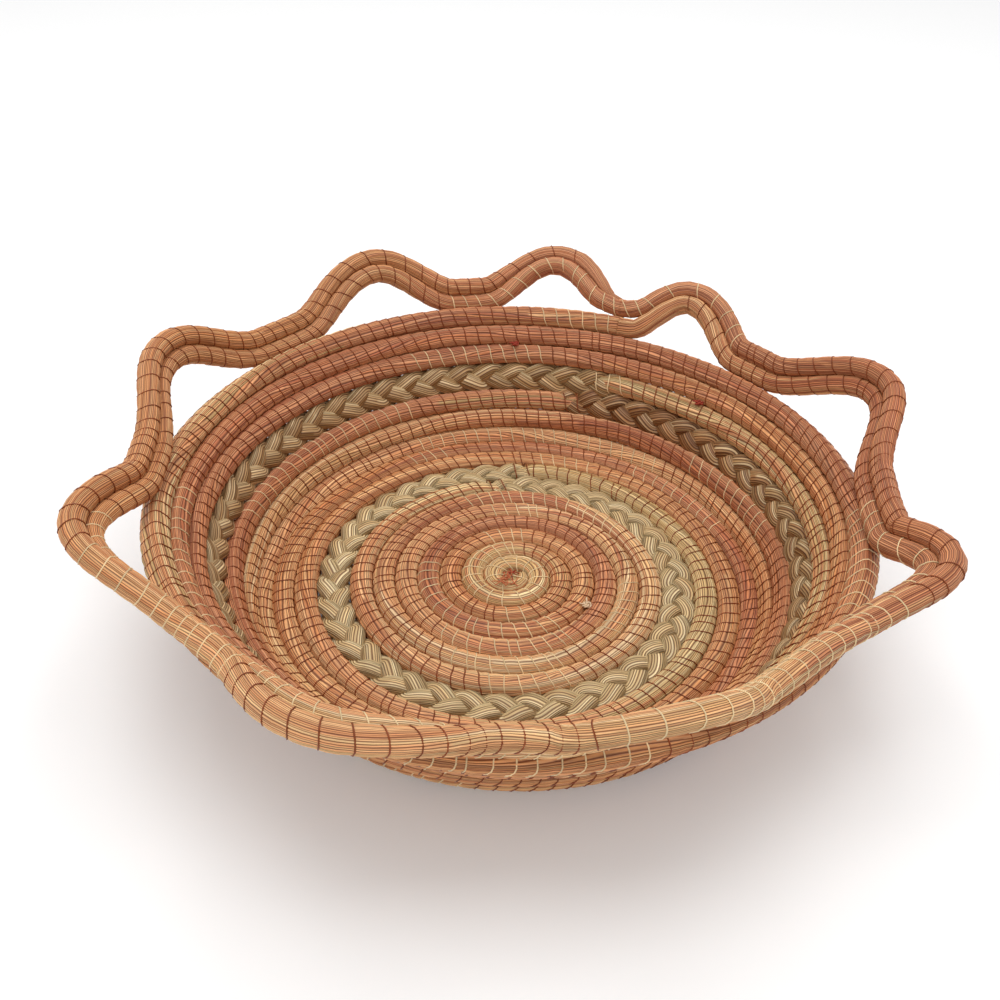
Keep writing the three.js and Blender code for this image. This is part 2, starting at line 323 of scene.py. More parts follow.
def bowl_place(turns, arc):
    """Points of the bowl's middle surface, with the directions along the wall and through it."""
    radius, height, slope = (value[:, None] for value in bowl_profile(arc))
    angle = 2 * np.pi * turns
    out = np.stack([np.sin(angle), np.cos(angle), 0 * angle], 1)
    rise = np.array([0.0, 0.0, 1.0])
    across = np.cos(slope) * out + np.sin(slope) * rise
    through = np.cos(slope) * rise - np.sin(slope) * out
    return radius * out + height * rise, across, through


def stitch_turns_of_coil():
    """Where the stitches lie, in turns. Each goes through one of the row before, and wider rows take more."""
    spacing_turns, spacings = np.transpose(STITCH_SPACING)
    stitches = [FIRST_STITCH]
    before = 0
    while stitches[-1] < RIM_END_TURN + 2:
        turn = stitches[-1]
        girth = 2 * math.pi * float(bowl_profile(min(row_arc(turn), WAVES_ARC))[0])
        spacing = float(np.interp(turn, spacing_turns, spacings)) / girth
        nearest, farthest = (share * spacing for share in STITCH_STRAY)
        ahead = turn + spacing
        while before < len(stitches) - 1 and stitches[before] + 1 < turn + nearest:
            before += 1
        below = stitches[before] + 1 + STITCH_SWIRL / girth
        if turn > FREE_TURNS and nearest < below - turn < farthest:
            ahead = below
        stitches.append(ahead)
    return np.array(stitches)


stitch_turns = stitch_turns_of_coil()


def slow_wave(along, length, phases):
    """A smooth wander of about -1 to 1 with that wavelength, one column for each row of phases."""
    wave = 0
    for ratio, phase in zip((1.0, 0.61, 0.37), phases.T):
        wave = wave + np.sin(2 * np.pi * along[:, None] / (length * ratio) + phase[None, :]) / 2
    return wave


def squared(angle, power):
    """Across and through shares of a section's edge, squarer than a circle for a power under 1."""
    wide, deep = np.cos(angle), np.sin(angle)
    return np.sign(wide) * np.abs(wide) ** power, np.sign(deep) * np.abs(deep) ** power


# Length of coil up to each turn, for what varies along the needles
LENGTH_TURNS = np.linspace(0, RIM_END_TURN + 2.1, 2000)
LENGTH_STEP = LENGTH_TURNS[1] - LENGTH_TURNS[0]
COIL_LENGTHS = np.cumsum(2 * np.pi * bowl_profile(row_arc(LENGTH_TURNS))[0]) * LENGTH_STEP


def lay_needles(lines, length, seed):
    """The needles that show on a bundle, in lines round it: where each ends, its shade, light and lift."""
    rng = np.random.default_rng(seed)
    count = int(length / NEEDLE_LENGTHS[0])
    ends = np.cumsum(rng.uniform(*NEEDLE_LENGTHS, (lines, count)), axis=1)
    ends -= rng.uniform(0, NEEDLE_LENGTHS[0], (lines, 1))
    return dict(ends=ends, shade=rng.random(ends.shape), light=rng.choice(NEEDLE_LIGHTS, ends.shape),
                lift=rng.normal(0, NEEDLE_LIFT, ends.shape))


coil_needles = lay_needles(NEEDLES, COIL_LENGTHS[-1], NEEDLE_SEED)
# The turn at which each batch of needles begins to be fed in, and its shades
coil_batches = [(0, START_SHADES), (1.62, WARM_SHADES)]


def needle_skin(path, laid, batches, groove=NEEDLE_GROOVE):
    """The skin of a bundle: a ridge for each outer needle, which wanders, ends and is followed by another."""
    along = path["along"]
    needles = len(laid["ends"])
    wander = np.random.default_rng(WANDER_SEED)
    spacing = 2 * np.pi / needles
    lean = slow_wave(along, LEAN_WAVE[0], wander.uniform(*PHASES, (1, 3))) * LEAN_WAVE[1]
    drift = slow_wave(along, DRIFT_WAVE[0], wander.uniform(*PHASES, (needles, 3))) * spacing * DRIFT_WAVE[1]
    lift = slow_wave(along, LIFT_WAVE[0], wander.uniform(*PHASES, (needles, 3))) * LIFT_WAVE[1]
    crest = np.arange(needles)[None, :] * spacing + lean + drift
    after = np.roll(crest, -1, axis=1)
    after[:, -1] += 2 * np.pi
    valley = (crest + after) / 2
    ridges = np.zeros((len(along), needles, 3))
    batch_turns = [turn for turn, _ in batches]
    for needle in range(needles):
        ends = laid["ends"][needle]
        piece = np.searchsorted(ends, along)
        begun = np.interp(ends[np.maximum(piece - 1, 0)], COIL_LENGTHS, LENGTH_TURNS)
        batch = np.clip(np.searchsorted(batch_turns, begun, side="right") - 1, 0, None)
        for k in np.unique(batch):
            shades = np.array([linear(code) for code in batches[k][1]])
            fed = batch == k
            drawn = (laid["shade"][needle, piece[fed]] * len(shades)).astype(int)
            ridges[fed, needle] = shades[drawn]
        ridges[:, needle] *= laid["light"][needle, piece][:, None]
        lift[:, needle] += laid["lift"][needle, piece]
    angle = np.stack([crest, valley], 2).reshape(len(along), -1)
    reach = np.stack([1 + lift, np.full_like(lift, 1 - groove)], 2).reshape(len(along), -1)
    between = (ridges + np.roll(ridges, -1, axis=1)) / 2
    colours = np.stack([ridges, between], 2).reshape(len(along), -1, 3)
    reach = reach * path["swell"][:, None]
    wide, deep = squared(angle, path["square"][:, None])
    flat = (path["half"][:, None] * reach * wide)[:, :, None] * path["across"][:, None, :]
    thick = (path["depth"][:, None] * reach * deep)[:, :, None] * path["through"][:, None, :]
    # 1 in the crease between two needles, where the finish paints shade
    in_shaded_gap = np.tile((0.0, 1.0), needles)
    lay = np.stack(np.broadcast_arrays(along[:, None], angle, in_shaded_gap[None, :]), 2)
    return tube(path["centre"][:, None, :] + flat + thick, colours, lay=lay)


def ring_turns(first, last):
    """Turns at which a bundle has a ring: at each stitch, and at two places between it and the next."""
    inside = stitch_turns[(stitch_turns > first) & (stitch_turns < last)]
    marks = np.concatenate([[first], inside, [last]])
    pinched = np.concatenate([[False], np.ones(len(inside), bool), [False]])
    turns, swell = [], []
    for k in range(len(marks) - 1):
        for share in RING_SHARES:
            turns.append(marks[k] + (marks[k + 1] - marks[k]) * share)
            swell.append(1 - PINCH if share == 0 and pinched[k] else 1.0)
    return np.array(turns + [last]), np.array(swell + [1.0])


def coil_path(first, last, lead=0.0, tail=0.0):
    """The rings of a stretch of the spiral. The first turn's inner edge keeps clear of the knot.
    A lead or a tail is a thinning end that runs on into a plait, in turns."""
    turns, swell = ring_turns(first - lead, last + tail)
    arc = row_arc(turns)
    outer = arc + COIL_HALF
    inner = np.maximum(arc - COIL_HALF, TAIL_EDGE)
    centre, across, through = bowl_place(turns, (outer + inner) / 2)
    full = np.ones(len(turns))
    if lead:
        full = np.minimum(full, np.clip((turns - first + lead) / (2 * lead), 0, 1))
    if tail:
        full = np.minimum(full, np.clip((last + tail - turns) / (2 * tail), 0, 1))
    size = END_SIZE + (1 - END_SIZE) * full
    centre = centre - through * ((1 - size) * COIL_DEPTH * END_SINK)[:, None]
    along = np.interp(turns, LENGTH_TURNS, COIL_LENGTHS)
    square = np.full(len(turns), COIL_SQUARE)
    return dict(swell=swell, centre=centre, across=across, through=through, along=along, square=square,
                half=size * (outer - inner) / 2, depth=size * COIL_DEPTH)


def needle_finish(name, roughness):
    """Dried needles: the shade of each, flecks along it, painted shade in the crease to the next, and a low
    waxy sheen.
    """
    finish = bpy.data.materials.new(name)
    finish.use_nodes = True
    nodes = finish.node_tree.nodes
    links = finish.node_tree.links
    shader = nodes["Principled BSDF"]
    shade = nodes.new("ShaderNodeAttribute")
    shade.attribute_name = "shade"
    lay = nodes.new("ShaderNodeAttribute")
    lay.attribute_name = "lay"
    drawn = nodes.new("ShaderNodeMapping")
    drawn.inputs["Scale"].default_value = (0.05, 9.0, 0.0)
    fleck = nodes.new("ShaderNodeTexNoise")
    fleck.inputs["Scale"].default_value = 1.6
    fleck.inputs["Detail"].default_value = 4
    fleck.inputs["Roughness"].default_value = 0.62
    depth = nodes.new("ShaderNodeMapRange")
    depth.inputs["From Min"].default_value = 0.3
    depth.inputs["From Max"].default_value = 0.68
    depth.inputs["To Min"].default_value = 0.62
    depth.inputs["To Max"].default_value = 1.26
    tint = nodes.new("ShaderNodeMix")
    tint.data_type = "RGBA"
    tint.blend_type = "MULTIPLY"
    tint.inputs["Factor"].default_value = 1
    part = nodes.new("ShaderNodeSeparateXYZ")
    # The crease between two needles is darkened here as painted shade, on top of the groove's real relief
    gap_shade_mask = nodes.new("ShaderNodeMapRange")
    gap_shade_mask.interpolation_type = "SMOOTHSTEP"
    gap_shade_mask.inputs["From Min"].default_value = 0.3
    painted_gap_shade = nodes.new("ShaderNodeMix")
    painted_gap_shade.data_type = "RGBA"
    painted_gap_shade.blend_type = "MULTIPLY"
    painted_gap_shade.inputs[7].default_value = PAINTED_GAP_SHADE
    gloss = nodes.new("ShaderNodeMapRange")
    gloss.inputs["To Min"].default_value = roughness - 0.1
    gloss.inputs["To Max"].default_value = roughness + 0.12
    relief = nodes.new("ShaderNodeMath")
    relief.operation = "MULTIPLY_ADD"
    relief.inputs[1].default_value = -2.5
    bump = nodes.new("ShaderNodeBump")
    bump.inputs["Strength"].default_value = 0.4
    bump.inputs["Distance"].default_value = 0.0002
    links.new(lay.outputs["Vector"], drawn.inputs["Vector"])
    links.new(drawn.outputs["Vector"], fleck.inputs["Vector"])
    links.new(fleck.outputs["Fac"], depth.inputs["Value"])
    links.new(shade.outputs["Color"], tint.inputs[6])
    links.new(depth.outputs["Result"], tint.inputs[7])
    links.new(lay.outputs["Vector"], part.inputs["Vector"])
    links.new(part.outputs["Z"], gap_shade_mask.inputs["Value"])
    links.new(gap_shade_mask.outputs["Result"], painted_gap_shade.inputs["Factor"])
    links.new(tint.outputs[2], painted_gap_shade.inputs[6])
    links.new(painted_gap_shade.outputs[2], shader.inputs["Base Color"])
    links.new(fleck.outputs["Fac"], gloss.inputs["Value"])
    links.new(gloss.outputs["Result"], shader.inputs["Roughness"])
    links.new(gap_shade_mask.outputs["Result"], relief.inputs[0])
    links.new(fleck.outputs["Fac"], relief.inputs[2])
    links.new(relief.outputs["Value"], bump.inputs["Height"])
    links.new(bump.outputs["Normal"], shader.inputs["Normal"])
    shader.inputs["Specular IOR Level"].default_value = 0.35
    return finish


green_needles = needle_finish("green_needles", roughness=0.5)
start_skin = needle_skin(coil_path(*START_COIL), coil_needles, coil_batches)
add_piece("start_coil_needles", [start_skin], green_needles, ["start_coil"])


# Floor coils inside the plait
# Red-brown needles, out to the fifth row, and then a batch of straw and pale orange ones.
# Each row is sewn to the one inside it, so the rows lie flat and close.
INNER_FLOOR = (1.7, 5.4)
STRAW_FLOOR = (5.4, 7.0)
BROWN_SHADES = ("eaa872", "e09b62", "f2b47b", "d68d56", "e8a36a", "dc9a68", "d08552", "f0b87f")
RUST_SHADES = ("d88e60", "ca7e50", "e29a68", "bc6e48", "e4a072", "d08a60")
STRAW_SHADES = ("fcd096", "f2bc80", "ffdcaa", "ecb078", "f8c288", "e6a672")
PLAIT_LEAD = 0.022  # turns over which a bundle thins out into a plait

brown_needles = needle_finish("brown_needles", roughness=0.48)
straw_needles = needle_finish("straw_needles", roughness=0.48)
coil_batches += [(2.0, BROWN_SHADES), (3.3, RUST_SHADES), (4.2, WARM_SHADES), (4.84, RUST_SHADES),
                 (4.97, STRAW_SHADES)]
inner_skin = needle_skin(coil_path(*INNER_FLOOR), coil_needles, coil_batches)
add_piece("inner_floor_needles", [inner_skin], brown_needles, ["inner_floor_coil"])
coil_batches += [(5.5, BROWN_SHADES), (5.7, RUST_SHADES), (6.0, STRAW_SHADES), (6.45, WARM_SHADES),
                 (6.72, START_SHADES + WARM_SHADES)]
straw_skin = needle_skin(coil_path(*STRAW_FLOOR, tail=2 * PLAIT_LEAD), coil_needles, coil_batches)
add_piece("straw_floor_needles", [straw_skin], straw_needles, ["straw_floor_coil"])


# Floor plait
# One round of a flat three-strand plait of green-tan needles, sewn in by its edges.
# Each strand is a flat bunch of needles that passes over one neighbour and under the other.
FLOOR_PLAIT = (7.0, 8.0)
FLOOR_PLAIT_SEED = 31
PLAIT_SHADES = ("f6dca6", "eed09a", "fae4b4", "e2c08a", "f2d6a2", "e8ca94")
FLOOR_PLAIT_CYCLE = 31.0  # length along the plait in which a strand comes back to the same edge
FLOOR_PLAIT_SWING = 3.9  # how far a strand's middle swings from the plait's
PLAIT_TURN = 0.94  # how sharply a strand turns back at the plait's edge, where 1 is a corner
PLAIT_RISE = 1.25  # how far a strand rises and dips as it crosses the others
STRAND_HALF = 3.5
STRAND_DEPTH = 1.5
STRAND_SQUARE = 0.85
STRAND_GROOVE = 0.14
STRAND_NEEDLES = 24
STRAND_STEP = 0.95  # length of plait from ring to ring
PLAIT_GATHER = 14.0  # length over which the strands part at one end and come together at the other
GATHERED_SWING = 0.65  # what is left of their swing there
GATHERED_SIZE = 0.8  # and of their size


def coil_place(turns):
    """Middle line and directions of the spiral's rows."""
    return bowl_place(turns, row_arc(turns))


def plait_parts(first, last, cycle, swing, batches, seed):
    """Three strands that weave along a row, of needles fed in by batches as in the coil."""
    middle_arc = row_arc((first + last) / 2)
    length = 2 * math.pi * float(bowl_profile(middle_arc)[0]) * (last - first)
    turns = np.linspace(first - PLAIT_LEAD, last + PLAIT_LEAD, int(length / STRAND_STEP))
    centre, across, through = coil_place(turns)
    along = (turns - turns[0]) / (last - first) * length
    gathered = np.clip(np.minimum(along, along[-1] - along) / PLAIT_GATHER, 0, 1)
    open_share = GATHERED_SWING + (1 - GATHERED_SWING) * np.sin(gathered * np.pi / 2)
    size = GATHERED_SIZE + (1 - GATHERED_SIZE) * np.sqrt(gathered)
    square = np.full(len(turns), STRAND_SQUARE)
    fed = np.interp(turns, LENGTH_TURNS, COIL_LENGTHS)
    parts = []
    for strand in range(3):
        phase = 2 * np.pi * (along / cycle + strand / 3)
        sway = np.arcsin(PLAIT_TURN * np.sin(phase)) / math.asin(PLAIT_TURN)
        side = (swing * open_share * sway)[:, None] * across
        rise = (PLAIT_RISE * np.sin(2 * phase))[:, None] * through
        line = centre + side + rise
        tangent = unit(np.gradient(line, axis=0))
        flat = unit(np.cross(through, tangent))
        face = np.cross(tangent, flat)
        path = dict(swell=np.ones(len(turns)), centre=line, across=-flat, through=face, along=fed,
                    square=square, half=size * STRAND_HALF, depth=size * STRAND_DEPTH)
        laid = lay_needles(STRAND_NEEDLES, COIL_LENGTHS[-1], seed + strand)
        parts.append(needle_skin(path, laid, batches, STRAND_GROOVE))
    return parts


plaited_needles = needle_finish("plaited_needles", roughness=0.46)
floor_batches = [(0, PLAIT_SHADES)]
floor_plait = plait_parts(*FLOOR_PLAIT, FLOOR_PLAIT_CYCLE, FLOOR_PLAIT_SWING, floor_batches, FLOOR_PLAIT_SEED)
add_piece("floor_plait", floor_plait, plaited_needles, ["floor_braid"])


# Floor coils outside the plait
# A short stretch of green-tan needles on the right, and then brown ones as far as the foot of the wall.
# They are bundles like the inner ones, sewn to the plait and to each other.
GREEN_FLOOR = (8.0, 8.45)
OUTER_FLOOR = (8.45, 10.1)
GREEN_SHADES = ("ecca90", "dcb87c", "f2d8a0", "e0ba80", "cfa468")

coil_batches += [(7.5, GREEN_SHADES), (8.36, WARM_SHADES)]
green_floor_skin = needle_skin(coil_path(*GREEN_FLOOR, lead=PLAIT_LEAD), coil_needles, coil_batches)
add_piece("green_floor_needles", [green_floor_skin], green_needles, ["green_floor_coil"])
coil_batches += [(8.65, BROWN_SHADES), (9.86, RUST_SHADES)]
outer_skin = needle_skin(coil_path(*OUTER_FLOOR), coil_needles, coil_batches)
add_piece("outer_floor_needles", [outer_skin], brown_needles, ["outer_floor_coil"])


# Wall coils below the plait
# The rows turn up at the foot and stand on each other, leaning outward, with a straw batch in the lower ones.
# The last row under the plait is the reddest, and greener needles end it.
LOWER_WALL = (10.1, 12.0)
UPPER_WALL = (12.0, 13.05)
WALL_END_SHADES = GREEN_SHADES[:3] + WARM_SHADES

coil_batches += [(10.38, STRAW_SHADES), (10.63, WARM_SHADES), (11.2, BROWN_SHADES), (11.63, STRAW_SHADES),
                 (11.83, WARM_SHADES), (11.93, RUST_SHADES)]
lower_skin = needle_skin(coil_path(*LOWER_WALL), coil_needles, coil_batches)
add_piece("lower_wall_needles", [lower_skin], brown_needles, ["lower_wall_coil"])
coil_batches += [(12.3, BROWN_SHADES), (12.5, RUST_SHADES), (12.93, WALL_END_SHADES)]
upper_skin = needle_skin(coil_path(*UPPER_WALL, tail=PLAIT_LEAD), coil_needles, coil_batches)
add_piece("upper_wall_needles", [upper_skin], brown_needles, ["upper_wall_coil"])


# Wall plait
# The second plaited round, of strands like those of the one in the floor, but darker where it begins.
# It stands in the wall between the coils and is sewn to both.
WALL_PLAIT = (13.05, 14.05)
WALL_PLAIT_SEED = 41
WALL_PLAIT_CYCLE = 33.0
WALL_PLAIT_SWING = 3.7
WALL_PLAIT_DARK = ("cc9c6c", "96663a", "dab486", "845630", "bc8a5a", "a67448")
WALL_PLAIT_SHADES = ("dcb886", "c8a272", "ecd0a0", "b48c5a", "d4b080", "c09a68")

wall_batches = [(0, WALL_PLAIT_DARK), (13.13, WALL_PLAIT_SHADES)]
wall_plait = plait_parts(*WALL_PLAIT, WALL_PLAIT_CYCLE, WALL_PLAIT_SWING, wall_batches, WALL_PLAIT_SEED)
add_piece("wall_plait", wall_plait, plaited_needles, ["wall_braid"])


# Rim coils
# A short green-tan stretch starts the rows above the plait, and red-brown rows end the wall.
# They are sewn through the plait's upper edge and then row to row.
GREEN_WALL = (14.05, 14.45)
RIM = (14.45, RIM_END_TURN)

coil_batches += [(13.5, GREEN_SHADES + WARM_SHADES), (14.38, RUST_SHADES)]
green_wall_skin = needle_skin(coil_path(*GREEN_WALL, lead=PLAIT_LEAD), coil_needles, coil_batches)
add_piece("green_wall_needles", [green_wall_skin], green_needles, ["green_wall_coil"])
coil_batches += [(15.05, BROWN_SHADES), (15.55, RUST_SHADES), (16.3, BROWN_SHADES), (16.6, WALL_END_SHADES),
                 (16.8, RUST_SHADES), (RIM_END_TURN - 0.1, BROWN_SHADES + WARM_SHADES)]
rim_skin = needle_skin(coil_path(*RIM), coil_needles, coil_batches)
add_piece("rim_needles", [rim_skin], brown_needles, ["rim_coil"])


# Waved rim cords
# The same coil goes on, slimmer, for two more rounds. It rises off the rim in nine open lobes, sewn down
# between them. The second round follows outside the first, and its end tapers out where it meets the start.

# Where a lobe starts, crests and ends, in degrees clockwise from the back. Then its crest's reach from the
# rim row, the slope of that reach, the lean from the first round to the second, and the slope of the seat in
# the valley before it.
LOBES = (
    (24, 33, 47, 24.5, 43, 33, 58),
    (54, 73, 92, 26.5, 42, 64, 35),
    (105, 115, 130, 22.5, 41, 42, 80),
    (148, 162, 176, 20, 67, 51, 83),
    (183, 201, 217, 20, 56, 25, 80),
    (224, 246, 263, 23, 43, 55, 72),
    (269, 290, 308, 23, 49, 70, 83),
    (317, 334, 348, 24.5, 42, 43, 14),
    (354, 367, 379, 24, 40, 20, 20),
)
VALLEY_LEAN = 60
SEAT_REACH = 8.1  # from the rim row to the first round, where it is sewn down
WAVE_PITCH = 6.95  # from the first round to the second
RIM_END_BEARING = (RIM_END_TURN % 1) * 360
SEAM_EASE = 10  # degrees over which the cord leaves the rim, and the first round passes into the second
SEAM_SPAN = 0.03  # turns on each side of that passage over which the line is rounded
SEAM_SHARES = np.linspace(-1, 1, 5)
CORD_START = 0.03  # turns over which the coil slims down to the waved cord
CORD_TAPER = 0.032  # turns over which the last end thins out, close against the cord inside it
CORD_END_TURN = RIM_END_TURN + 2
CORD_END_SIZE = 0.1  # what is left of the cord there
CORD_END_POWER = 0.8  # how bluntly it thins to that
CORD_SQUARE = 0.86
SCALLOP_HALF = 3.65
# Pale needles for the front of each round: a painted highlight over the real mix of batches
FRONT_LIT_SHADES = WARM_SHADES + STRAW_SHADES
# Turns after a round's start at which each batch of needles is fed in, the palest at the right of the front
# as a painted highlight where the cords catch more light
WAVE_FEEDS = ((0.05, RUST_SHADES), (0.27, STRAW_SHADES), (0.42, FRONT_LIT_SHADES), (0.52, BROWN_SHADES),
              (0.86, RUST_SHADES))


def ease(share):
    """A rounded step from 0 to 1."""
    return 0.5 - 0.5 * np.cos(np.pi * np.clip(share, 0, 1))


def eased_table(bearings, stops):
    """Values that ease from stop to stop, given as pairs of a bearing and a value."""
    at = np.array([stop[0] for stop in stops], float)
    value = np.array([stop[1] for stop in stops], float)
    k = np.clip(np.searchsorted(at, bearings) - 1, 0, len(at) - 2)
    return value[k] + (value[k + 1] - value[k]) * ease((bearings - at[k]) / (at[k + 1] - at[k]))


slope_stops = []
lean_stops = []
reach_stops = []
for k, (start, crest, end, reach, slope, lean, seat) in enumerate(LOBES):
    before = LOBES[k - 1][2] - (0 if k else 360)
    slope_stops += [((before + start) / 2, seat), (crest, slope)]
    lean_stops += [((before + start) / 2, VALLEY_LEAN), (crest, lean)]
    reach_stops += [(start, SEAT_REACH), (crest, reach), (end, SEAT_REACH)]
slope_stops.append((slope_stops[0][0] + 360, slope_stops[0][1]))
lean_stops.append((lean_stops[0][0] + 360, lean_stops[0][1]))


def leaning(bearings, lean):
    """The direction outward and up at a lean from the level."""
    angle = np.radians(bearings)
    out = np.stack([np.sin(angle), np.cos(angle), 0 * angle], 1)
    return np.cos(lean) * out + np.sin(lean) * np.array([0.0, 0.0, 1.0])


def over_rim(bearings):
    """A line that rises and falls over the rim row below it."""
    rim = coil_place(RIM_END_TURN - 1 + (bearings - RIM_END_BEARING) / 360)[0]
    lifted = leaning(bearings, np.radians(eased_table(bearings, slope_stops))[:, None])
    return rim + eased_table(bearings, reach_stops)[:, None] * lifted


coil_end = coil_place(np.array([RIM_END_TURN]))[0][0]
seam_way = leaning(np.array([RIM_END_BEARING]), math.radians(VALLEY_LEAN))[0]
start_step, seam_step = np.array([coil_end, coil_end + WAVE_PITCH * seam_way]) - over_rim(
    RIM_END_BEARING + np.array([0.0, 360.0]))


def inner_cord(bearings):
    """The middle line of the first round, which leaves the rim coil's end and comes back on top of it."""
    leaving = 1 - ease((bearings - RIM_END_BEARING) / SEAM_EASE)
    closing = ease((bearings - RIM_END_BEARING - 360) / SEAM_EASE + 1)
    return over_rim(bearings) + leaving[:, None] * start_step + closing[:, None] * seam_step


def wave_line(turns):
    """The line of the waved cords over both rounds, and the way from the first round to the second."""
    rounds = np.clip(np.floor(turns - RIM_END_TURN), 0, 1)
    bearings = RIM_END_BEARING + (turns - RIM_END_TURN - rounds) * 360
    small = 0.5  # degrees
    tangent = unit(inner_cord(bearings + small) - inner_cord(bearings - small))
    across = leaning(bearings, np.radians(eased_table(bearings, lean_stops))[:, None])
    across = perpendicular(across, tangent)
    return inner_cord(bearings) + across * WAVE_PITCH * rounds[:, None], across


def soft_line(turns):
    """The same line, rounded where the first round passes into the second."""
    near = ease(1 - np.abs(turns - RIM_END_TURN - 1) / SEAM_SPAN) * SEAM_SPAN / 2
    return sum(wave_line(turns + near * share)[0] for share in SEAM_SHARES) / len(SEAM_SHARES)


def scallop_place(turns):
    """Middle line and directions of the waved cords, for turns counted on from the end of the rim coil."""
    small = 0.0015  # turns
    tangent = unit(soft_line(turns + small) - soft_line(turns - small))
    across = perpendicular(wave_line(turns)[1], tangent)
    return soft_line(turns), across, np.cross(tangent, across)


def scallop_path(first, last):
    """The rings of one round of the waved cords."""
    turns, swell = ring_turns(first, last)
    centre, across, through = scallop_place(turns)
    slimmed = ease((turns - RIM_END_TURN) / CORD_START)
    tapered = np.clip((CORD_END_TURN - turns) / CORD_TAPER, 0, 1) ** CORD_END_POWER
    left = CORD_END_SIZE + (1 - CORD_END_SIZE) * tapered
    half = (COIL_HALF + (SCALLOP_HALF - COIL_HALF) * slimmed) * left
    centre = centre - across * ((1 - left) * SCALLOP_HALF)[:, None]
    along = np.interp(turns, LENGTH_TURNS, COIL_LENGTHS)
    square = COIL_SQUARE + (CORD_SQUARE - COIL_SQUARE) * slimmed
    return dict(swell=swell, centre=centre, across=across, through=through, along=along, square=square,
                half=half, depth=half)


for round_start in (RIM_END_TURN, RIM_END_TURN + 1):
    coil_batches += [(round_start + turn, shades) for turn, shades in WAVE_FEEDS]
inner_wave_skin = needle_skin(scallop_path(RIM_END_TURN, RIM_END_TURN + 1), coil_needles, coil_batches)
add_piece("inner_wave_needles", [inner_wave_skin], brown_needles, ["scallop_inner_cord"])
outer_wave_skin = needle_skin(scallop_path(RIM_END_TURN + 1, CORD_END_TURN), coil_needles, coil_batches)
add_piece("outer_wave_needles", [outer_wave_skin], brown_needles, ["scallop_outer_cord"])


# Sewing thread
# Waxed thread, cream on some lengths and red-brown on others, goes round each row and through the one before.
# Cream is drawn more where the shiny thread catches the light, a painted reflection.
# It is pulled tight, so every stitch sinks a little into the needles and the row draws in under it.
PALE_THREAD = "ecd2a4"
DARK_THREAD = "88421e"
THREAD_RADIUS = 0.23
THREAD_SIDES = 4
STITCH_POINTS = 14
THREAD_PROUD = 0.13  # how far the thread's middle stands off the drawn-in needles
STITCH_JITTER = 0.35  # how unevenly the stitches slant
STITCH_BOW = 0.25
THREAD_LIGHTS = (0.85, 1.15)
ROW_STITCH_SEED = 61
WAVE_STITCH_SEED = 66
# Shares of pale stitches in the rows and on the waved cords, at parts of a turn from the back; the extra
# cream where shiny thread catches the light is painted reflection
ROW_PALE_AND_SHEEN = ((0, 0.5), (0.12, 0.18), (0.25, 0.12), (0.38, 0.18), (0.5, 0.55), (0.62, 0.18), (0.75, 0.12),
            (0.88, 0.18))
WAVE_PALE_AND_SHEEN = ((0, 0.4), (0.26, 0.3), (0.34, 1), (0.46, 1), (0.48, 0.1), (0.56, 0.1), (0.6, 1), (0.67, 1),
             (0.7, 0.12), (0.9, 0.3))
RUN_STITCHES = (6, 22)  # shortest and longest run of stitches sewn with one length of thread


def stitch_parts(turns, place, half, depth, square, pale_and_sheen, seed):
    """Loops of thread round a row, each tilted a little along it, pale or dark by the share at each place,
    which paints the thread's reflection.
    """
    rng = np.random.default_rng(seed)
    centre, across, through = place(turns)
    tangent = np.cross(across, through)
    jitter = rng.normal(0, STITCH_JITTER, (len(turns), 1))
    angle = np.linspace(0, 2 * np.pi, STITCH_POINTS, endpoint=False)[None, :]
    slide = (STITCH_SWIRL / 2 + jitter) * np.cos(angle) + STITCH_BOW * np.sin(2 * angle)
    outward = np.cos(angle)[:, :, None] * across[:, None, :] + np.sin(angle)[:, :, None] * through[:, None, :]
    seat = 1 - PINCH
    wide, deep = squared(angle, square)
    wide = (half * seat * wide)[:, :, None] * across[:, None, :]
    deep = (depth * seat * deep)[:, :, None] * through[:, None, :]
    slide = slide[:, :, None] * tangent[:, None, :]
    line = centre[:, None, :] + wide + deep + THREAD_PROUD * outward + slide
    way = unit(np.roll(line, -1, axis=1) - np.roll(line, 1, axis=1))
    beside = unit(np.cross(way, outward))
    turn = np.linspace(0, 2 * np.pi, THREAD_SIDES, endpoint=False)
    # Cream is drawn more often where the shiny thread would catch the light: a painted reflection over runs
    # of real cream and brown thread
    pale_and_sheen_share = np.interp(turns, *np.transpose(pale_and_sheen), period=1)
    parts = []
    left = 0
    for k in range(len(turns)):
        if left == 0:
            left = int(rng.integers(*RUN_STITCHES))
            draw = rng.random()
        left -= 1
        shade = PALE_THREAD if draw < pale_and_sheen_share[k] else DARK_THREAD
        round_thread = (np.cos(turn)[None, :, None] * outward[k][:, None, :]
                        + np.sin(turn)[None, :, None] * beside[k][:, None, :])
        rings = line[k][:, None, :] + THREAD_RADIUS * round_thread
        parts.append(tube(rings, linear(shade) * rng.uniform(*THREAD_LIGHTS), closed=True))
    return parts


